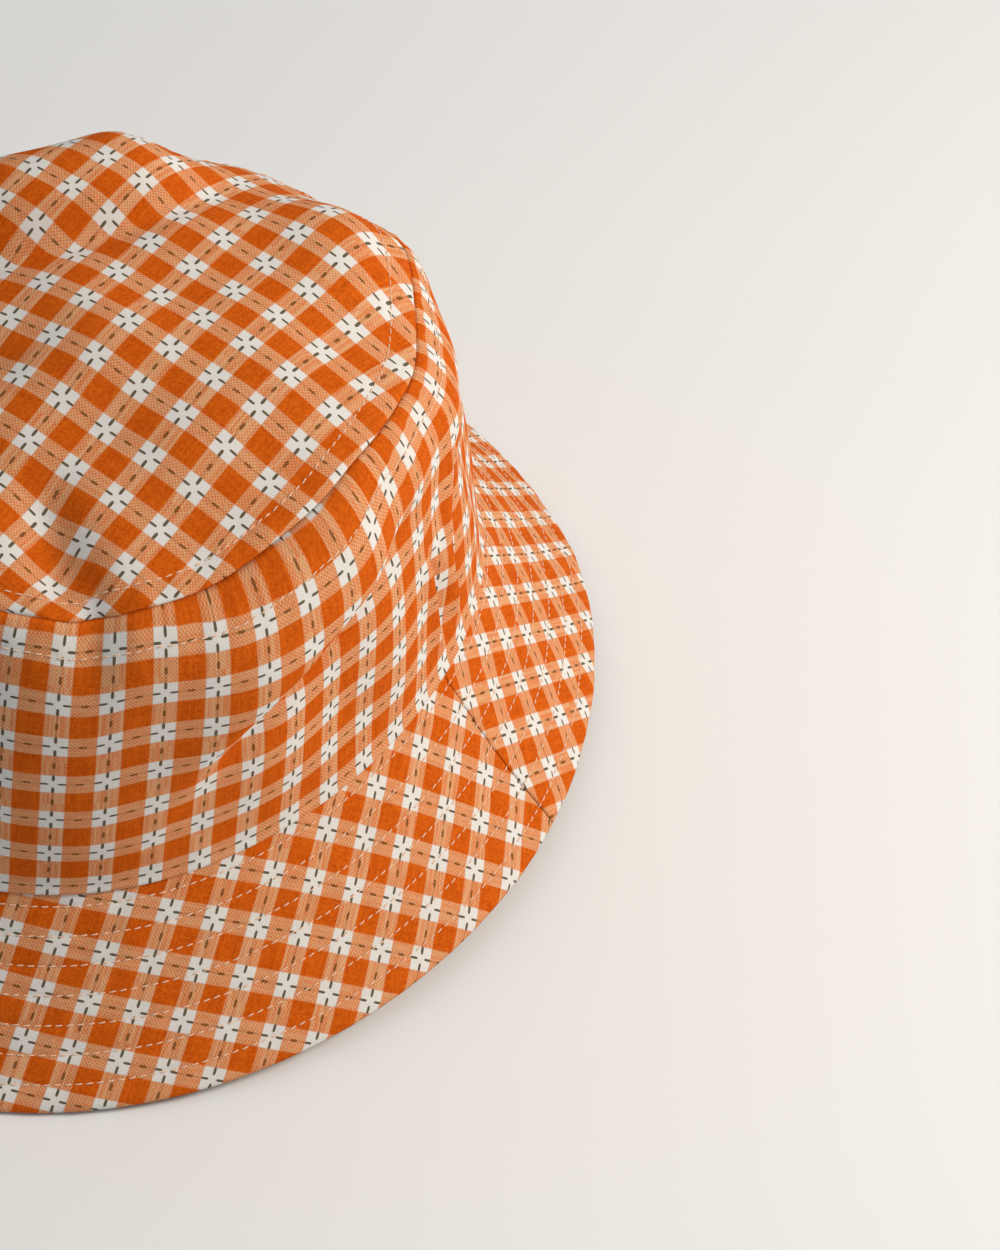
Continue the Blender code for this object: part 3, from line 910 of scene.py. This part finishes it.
def sweatband_pieces(twill, thread):
    """The tape inside the head opening and its one row of stitching."""
    around = whole_round(BAND_SEAM_GAP, 300)
    heights = np.linspace(0.0, SWEATBAND_HEIGHT, 24)
    layer = {"depth": SWEATBAND_DEPTH, "thickness": SWEATBAND_CLOTH}
    tape = sheet_piece("sweatband_tape", band_surface, around, heights, 1.0, twill, band_cloth, **layer)
    declare(tape, "sweatband")
    full = whole_round(0.0, 1200)
    level = np.full_like(full, SWEATBAND_ROW_HEIGHT)
    inner_face = SWEATBAND_DEPTH + SWEATBAND_CLOTH
    row = stitch_row(full, band_surface, level, 1.0, lift=inner_face, side=-1.0)
    declare(stitches("sweatband_stitches", [row], thread), "sweatband_stitch")


def brim_pieces(check, canvas, thread):
    """Both halves of the brim's three layers, and the rows of stitching through them."""
    reaches = graded(0.0, BRIM_WIDTH, 96, 0.25)
    quarter = math.pi / 2 - BRIM_SEAM_GAP
    for half, middle in (("front", 0.0), ("back", math.pi)):
        around = np.linspace(middle - quarter, middle + quarter, 330)
        cloth = brim_cloth(middle)
        core_name = f"brim_interlining_{half}_canvas"
        under_name = f"brim_under_{half}_cloth"

        top = sheet_piece(f"brim_top_{half}_cloth", brim_surface, around, reaches, -1.0, check, cloth)
        declare(top, f"brim_top_{half}")

        depth = brim_depth(UNDER_BRIM_DEPTH)
        under = sheet_piece(under_name, brim_surface, around, reaches, -1.0, check, cloth, depth)
        declare(under, f"brim_under_{half}")

        # The interlining stops short of the turned edge.
        depth = brim_depth(INTERLINING_DEPTH)
        core = sheet_piece(core_name, brim_surface, around[::3], reaches[:-8:3], -1.0, canvas, cloth, depth)
        declare(core, f"brim_interlining_{half}")

    full = whole_round(0.0, 1600)
    for number, reach in enumerate(BRIM_ROWS, start=1):
        across = np.full_like(full, reach)
        above = stitch_row(full, brim_surface, across, -1.0)
        below = stitch_row(full, brim_surface, across, -1.0, lift=UNDER_BRIM_DEPTH + CLOTH, side=-1.0)
        rows = stitches(f"brim_stitches_{number}", [above, below], thread)
        declare(rows, f"brim_stitch_{number}")


def label_pieces(ribbon, thread):
    """The blank care label, a soft ribbon that hangs from its sewn edge."""
    width = LABEL_HIGH[0] - LABEL_LOW[0]
    top = LABEL_HIGH[2]
    length = top - LABEL_LOW[2]
    middle_y = (LABEL_LOW[1] + LABEL_HIGH[1]) / 2

    def surface(x, drop):
        curl = 1.1 * MM * (drop / length) ** 2 * np.cos(x / width * 2.2)
        return np.stack([x, middle_y - curl, top - drop], axis=-1)

    def cloth(x, drop):
        return np.stack([x / CHECK, drop / CHECK], axis=-1)

    def edge(x, drop):
        y = np.full_like(x, LABEL_STITCH_LOW[1] - 0.3 * MM)
        return np.stack([x, y, LABEL_STITCH_HIGH[2] - drop], axis=-1)

    across = np.linspace(-width / 2, width / 2, 14)
    down = np.linspace(0, length, 20)
    label = sheet_piece("care_label_ribbon", surface, across, down, 1.0, ribbon, cloth, thickness=LABEL_CLOTH)
    declare(label, "care_label", body="care_label")
    line = np.linspace(LABEL_STITCH_LOW[0], LABEL_STITCH_HIGH[0], 60)
    sewn = stitches("care_label_stitches", [stitch_row(line, edge, np.zeros_like(line), 1.0)], thread)
    declare(sewn, "care_label_stitch")


# ---------------------------------------------------------------- camera, floor and light


CAMERA_AZIMUTH = math.radians(27.25)
CAMERA_ELEVATION = math.radians(46.07)
CAMERA_DISTANCE = 0.8437
CAMERA_LENS_MM = 100.0
CAMERA_SENSOR_MM = 36.0
CAMERA_TARGET_HEIGHT = 41.0 * MM
CAMERA_SWING = math.radians(-6.14)
CAMERA_NOD = math.radians(-0.85)

LIGHT_PLACE = (0.88, 0.30, 0.78)
LIGHT_TARGET = (0.0, 0.0, 60.0 * MM)
LIGHT_SIZE = 0.45
LIGHT_WATTS = 9.6
LIGHT_COLOUR = (1.0, 0.90, 0.76)
SKY_COLOUR = (0.98, 0.99, 1.0, 1.0)
SKY_STRENGTH = 0.18
SKY_GRADE = (0.0, 0.10, 0.40)

FLOOR_HALF_SIZE = 3.0
FLOOR_HEIGHT = -0.2 * MM


def add_camera():
    """Camera turned a little aside from the hat's middle, so that the hat sits left in the frame."""
    data = bpy.data.cameras.new("camera")
    data.lens = CAMERA_LENS_MM
    data.sensor_width = CAMERA_SENSOR_MM
    away = CAMERA_DISTANCE * math.cos(CAMERA_ELEVATION)
    height = CAMERA_TARGET_HEIGHT + CAMERA_DISTANCE * math.sin(CAMERA_ELEVATION)
    place = Vector((math.sin(CAMERA_AZIMUTH) * away, -math.cos(CAMERA_AZIMUTH) * away, height))
    turn = Matrix.Rotation(CAMERA_AZIMUTH, 4, "Z") @ Matrix.Rotation(math.pi / 2 - CAMERA_ELEVATION, 4, "X")
    swing = Matrix.Rotation(CAMERA_SWING, 4, "Y") @ Matrix.Rotation(CAMERA_NOD, 4, "X")
    camera = bpy.data.objects.new("camera", data)
    camera.matrix_world = Matrix.Translation(place) @ turn @ swing
    bpy.context.scene.collection.objects.link(camera)
    bpy.context.scene.camera = camera


def add_key_light():
    """One soft round lamp, high on the wearer's left."""
    data = bpy.data.lights.new("key", "AREA")
    data.shape = "DISK"
    data.size = LIGHT_SIZE
    data.energy = LIGHT_WATTS
    data.color = LIGHT_COLOUR
    light = bpy.data.objects.new("key", data)
    light.location = LIGHT_PLACE
    light.rotation_euler = (Vector(LIGHT_TARGET) - light.location).to_track_quat("-Z", "Y").to_euler()
    bpy.context.scene.collection.objects.link(light)


def studio_world():
    """A pale studio, brightest overhead and a little brighter behind the hat than in front of it."""
    world = bpy.data.worlds.new("studio")
    world.use_nodes = True
    tree = world.node_tree
    place = tree.nodes.new("ShaderNodeTexCoord")
    grade = tree.nodes.new("ShaderNodeVectorMath")
    grade.operation = "DOT_PRODUCT"
    grade.inputs[1].default_value = SKY_GRADE
    tree.links.new(place.outputs["Generated"], grade.inputs[0])
    total = tree.nodes.new("ShaderNodeMath")
    total.inputs[1].default_value = SKY_STRENGTH
    tree.links.new(grade.outputs["Value"], total.inputs[0])
    background = tree.nodes["Background"]
    background.inputs["Color"].default_value = SKY_COLOUR
    tree.links.new(total.outputs[0], background.inputs["Strength"])
    return world


def add_stage():
    """Floor, lamp and sky."""
    mesh = bpy.data.meshes.new("floor")
    turns = ((-1, -1), (1, -1), (1, 1), (-1, 1))
    corners = [(x * FLOOR_HALF_SIZE, y * FLOOR_HALF_SIZE, 0) for x, y in turns]
    mesh.from_pydata(corners, [], [(0, 1, 2, 3)])
    mesh.materials.append(stage_material())
    floor = bpy.data.objects.new("floor", mesh)
    floor.location.z = FLOOR_HEIGHT
    bpy.context.scene.collection.objects.link(floor)
    add_key_light()
    bpy.context.scene.world = studio_world()
    bpy.context.scene.view_settings.view_transform = "Standard"


def build():
    check = gingham("check_cloth_woven")
    lining = plain_cloth("lining_woven", *INNER_CLOTHS["lining"])
    canvas = plain_cloth("canvas_woven", *INNER_CLOTHS["canvas"])
    tape = plain_cloth("sweatband_woven", *INNER_CLOTHS["sweatband"])
    ribbon = plain_cloth("label_woven", *INNER_CLOTHS["label"])
    thread = thread_material()
    crown_pieces(check, lining, thread)
    sweatband_pieces(tape, thread)
    brim_pieces(check, canvas, thread)
    label_pieces(ribbon, thread)
    add_stage()
    add_camera()


build()
